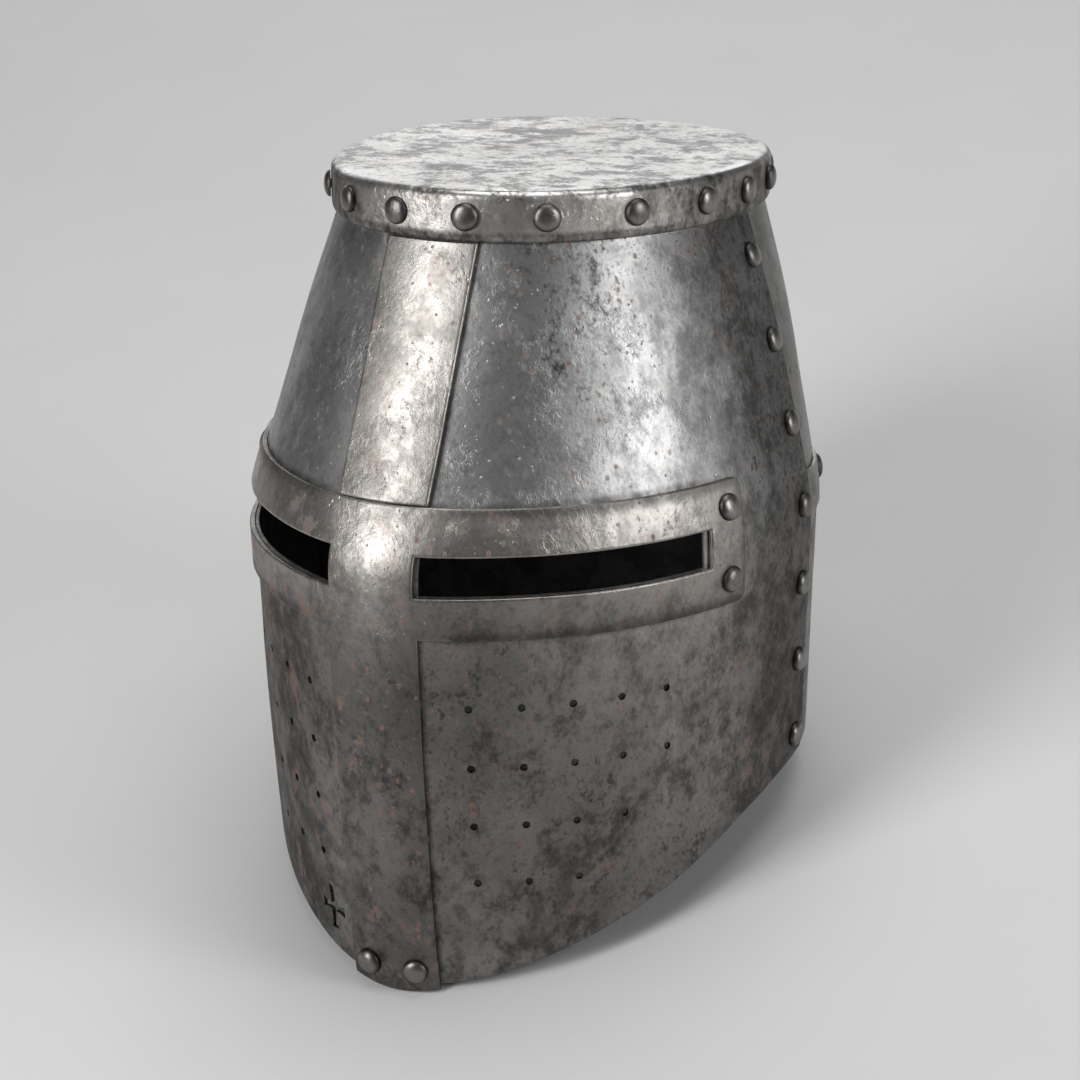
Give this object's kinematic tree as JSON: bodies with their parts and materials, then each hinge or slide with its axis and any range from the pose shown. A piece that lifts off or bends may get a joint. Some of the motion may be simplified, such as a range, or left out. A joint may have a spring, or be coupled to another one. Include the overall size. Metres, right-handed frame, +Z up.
{
  "type": "great helm",
  "caption": "Flat-topped great helm of riveted steel plates with a cross-shaped face band, two sights, pierced breaths and an open bottom.",
  "frame": {"origin": "Middle of the bounding box on the ground plane, with the helm leaning back as it rests on its front point and rear edge.", "axes": "+X to the wearer's left, -Y is the way the helm faces, +Z up from the ground"},
  "size_m": [0.2574, 0.35, 0.3189],
  "materials": {
    "cap_steel": "old plate steel, rubbed bright on top, with dark stains and fine rust flecks",
    "front_steel": "old pitted plate steel, grey above the sights and browner and more stained below",
    "rear_steel": "old pitted plate steel, duller grey with dark stains",
    "strap_steel": "old strap steel, warm grey with rubbed edges and rust flecks",
    "rivet_steel": "rivet steel worn smooth and bright on the dome"
  },
  "bodies": {
    "root": {"crown_cap": "cap_steel", "front_plate": "front_steel", "rear_upper_plate": "rear_steel", "rear_lower_plate": "rear_steel", "brow_strap": "strap_steel", "face_cross": "strap_steel", "arm_rivet_left_lower": "rivet_steel", "arm_rivet_left_upper": "rivet_steel", "arm_rivet_right_lower": "rivet_steel", "arm_rivet_right_upper": "rivet_steel", "crown_rivet_left_1": "rivet_steel", "crown_rivet_left_2": "rivet_steel", "crown_rivet_left_3": "rivet_steel", "crown_rivet_left_4": "rivet_steel", "crown_rivet_left_5": "rivet_steel", "crown_rivet_left_6": "rivet_steel", "crown_rivet_left_7": "rivet_steel", "crown_rivet_left_8": "rivet_steel", "crown_rivet_left_9": "rivet_steel", "crown_rivet_right_1": "rivet_steel", "crown_rivet_right_2": "rivet_steel", "crown_rivet_right_3": "rivet_steel", "crown_rivet_right_4": "rivet_steel", "crown_rivet_right_5": "rivet_steel", "crown_rivet_right_6": "rivet_steel", "crown_rivet_right_7": "rivet_steel", "crown_rivet_right_8": "rivet_steel", "crown_rivet_right_9": "rivet_steel", "end_rivet_left": "rivet_steel", "end_rivet_right": "rivet_steel", "seam_rivet_left_1": "rivet_steel", "seam_rivet_left_2": "rivet_steel", "seam_rivet_left_3": "rivet_steel", "seam_rivet_left_4": "rivet_steel", "seam_rivet_left_5": "rivet_steel", "seam_rivet_left_6": "rivet_steel", "seam_rivet_left_7": "rivet_steel", "seam_rivet_right_1": "rivet_steel", "seam_rivet_right_2": "rivet_steel", "seam_rivet_right_3": "rivet_steel", "seam_rivet_right_4": "rivet_steel", "seam_rivet_right_5": "rivet_steel", "seam_rivet_right_6": "rivet_steel", "seam_rivet_right_7": "rivet_steel", "waist_rivet_1": "rivet_steel", "waist_rivet_2": "rivet_steel", "waist_rivet_3": "rivet_steel", "waist_rivet_4": "rivet_steel", "waist_rivet_5": "rivet_steel", "waist_rivet_6": "rivet_steel"}
  },
  "joints": []
}
